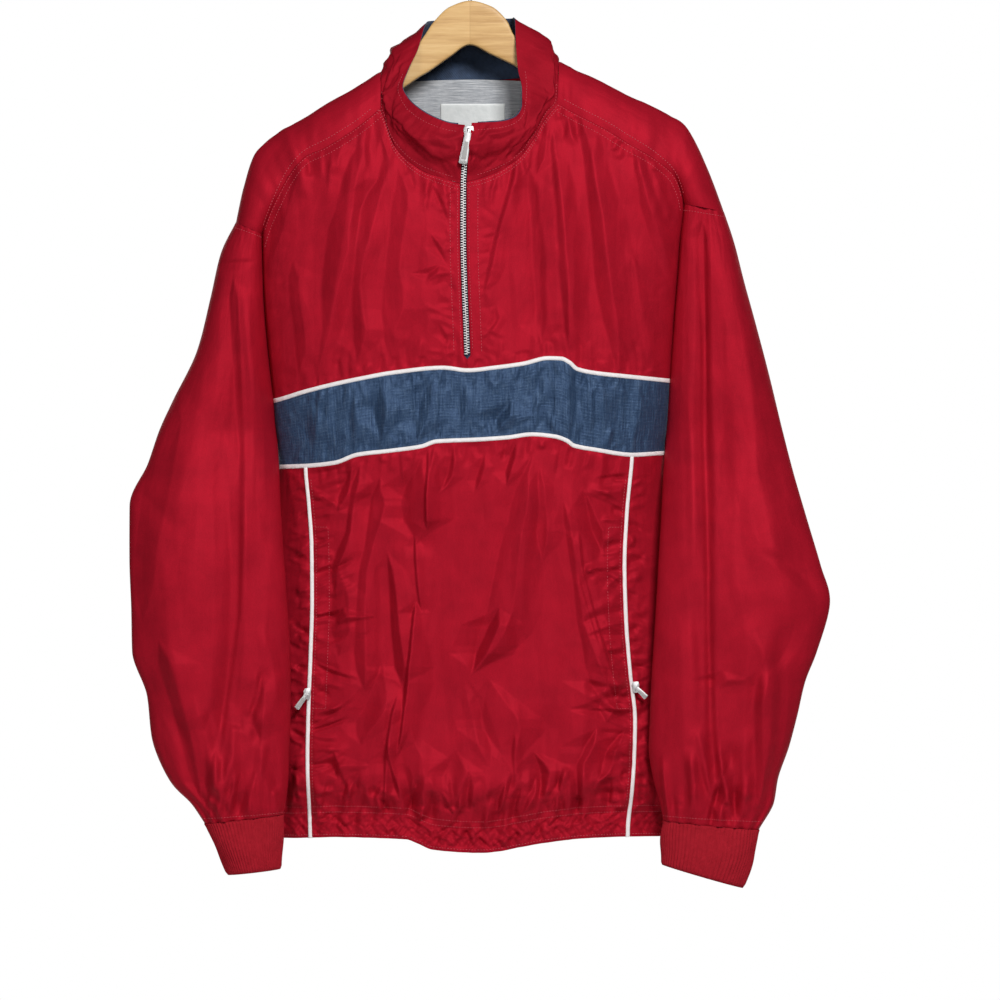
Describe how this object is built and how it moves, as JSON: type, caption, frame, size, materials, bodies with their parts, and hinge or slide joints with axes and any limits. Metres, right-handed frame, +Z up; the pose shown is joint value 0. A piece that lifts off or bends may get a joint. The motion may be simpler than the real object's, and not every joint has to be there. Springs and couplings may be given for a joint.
{
  "type": "anorak pullover on a wooden hanger",
  "caption": "Half-zip anorak pullover in shiny nylon with a contrast chest band, white piping, stand collar and rib cuffs, hanging on a wooden hanger.",
  "frame": {"origin": "inside top of the hanger's hook, where it rests on its rail", "axes": "+Z up, +X to the right of a viewer who faces the chest, -Y out of the chest towards that viewer"},
  "size_m": [0.697, 0.1333, 0.958],
  "materials": {
    "red_shell": "satin nylon",
    "navy_ripstop": "crinkled ripstop nylon",
    "navy_facing": "dull woven",
    "zip_tape": "woven tape",
    "rib_knit": "matte rib knit",
    "white_piping": "satin",
    "marl_jersey": "matte knit",
    "label_satin": "satin",
    "beech": "clear lacquer",
    "hook_wire": "polished",
    "zip_metal": "satin"
  },
  "bodies": {
    "garment": {"back_panel": "red_shell", "chest_band": "navy_ripstop", "collar": "red_shell", "collar_facing": "navy_facing", "cuff_left": "rib_knit", "cuff_right": "rib_knit", "front_lower": "red_shell", "front_upper_left": "red_shell", "front_upper_right": "red_shell", "hanger_bar": "beech", "hanger_hook": "hook_wire", "neck_label": "label_satin", "neck_lining": "marl_jersey", "piping_band_bottom": "white_piping", "piping_band_top": "white_piping", "piping_side_left": "white_piping", "piping_side_right": "white_piping", "pocket_slider_left": "zip_metal", "pocket_slider_right": "zip_metal", "side_front_left": "red_shell", "side_front_right": "red_shell", "sleeve_left_back_elbow": "red_shell", "sleeve_left_back_lower": "red_shell", "sleeve_left_back_upper": "red_shell", "sleeve_left_front_elbow": "red_shell", "sleeve_left_front_lower": "red_shell", "sleeve_left_front_upper": "red_shell", "sleeve_right_back_elbow": "red_shell", "sleeve_right_back_lower": "red_shell", "sleeve_right_back_upper": "red_shell", "sleeve_right_front_elbow": "red_shell", "sleeve_right_front_lower": "red_shell", "sleeve_right_front_upper": "red_shell", "yoke_left": "red_shell", "yoke_right": "red_shell", "zip_chain": "zip_metal", "zip_slider": "zip_metal", "zip_tape": "zip_tape"},
    "zip_pull": {"zip_pull": "zip_metal"},
    "pocket_pull_left": {"pocket_pull_left": "zip_metal"},
    "pocket_pull_right": {"pocket_pull_right": "zip_metal"}
  },
  "joints": [
    {"name": "zip_pull_swing", "type": "hinge", "parent": "garment", "child": "zip_pull", "pos_m": [-0.0015, -0.05596, -0.205], "axis": [-0.9852, 0, 0.1715], "range_deg": [0, 150]},
    {"name": "pocket_pull_left_swing", "type": "hinge", "parent": "garment", "child": "pocket_pull_left", "pos_m": [-0.162, -0.04508, -0.762], "axis": [-0.816, 0, 0.578], "range_deg": [0, 120]},
    {"name": "pocket_pull_right_swing", "type": "hinge", "parent": "garment", "child": "pocket_pull_right", "pos_m": [0.1655, -0.04374, -0.7555], "axis": [-0.7071, 0, -0.7071], "range_deg": [0, 120]}
  ]
}
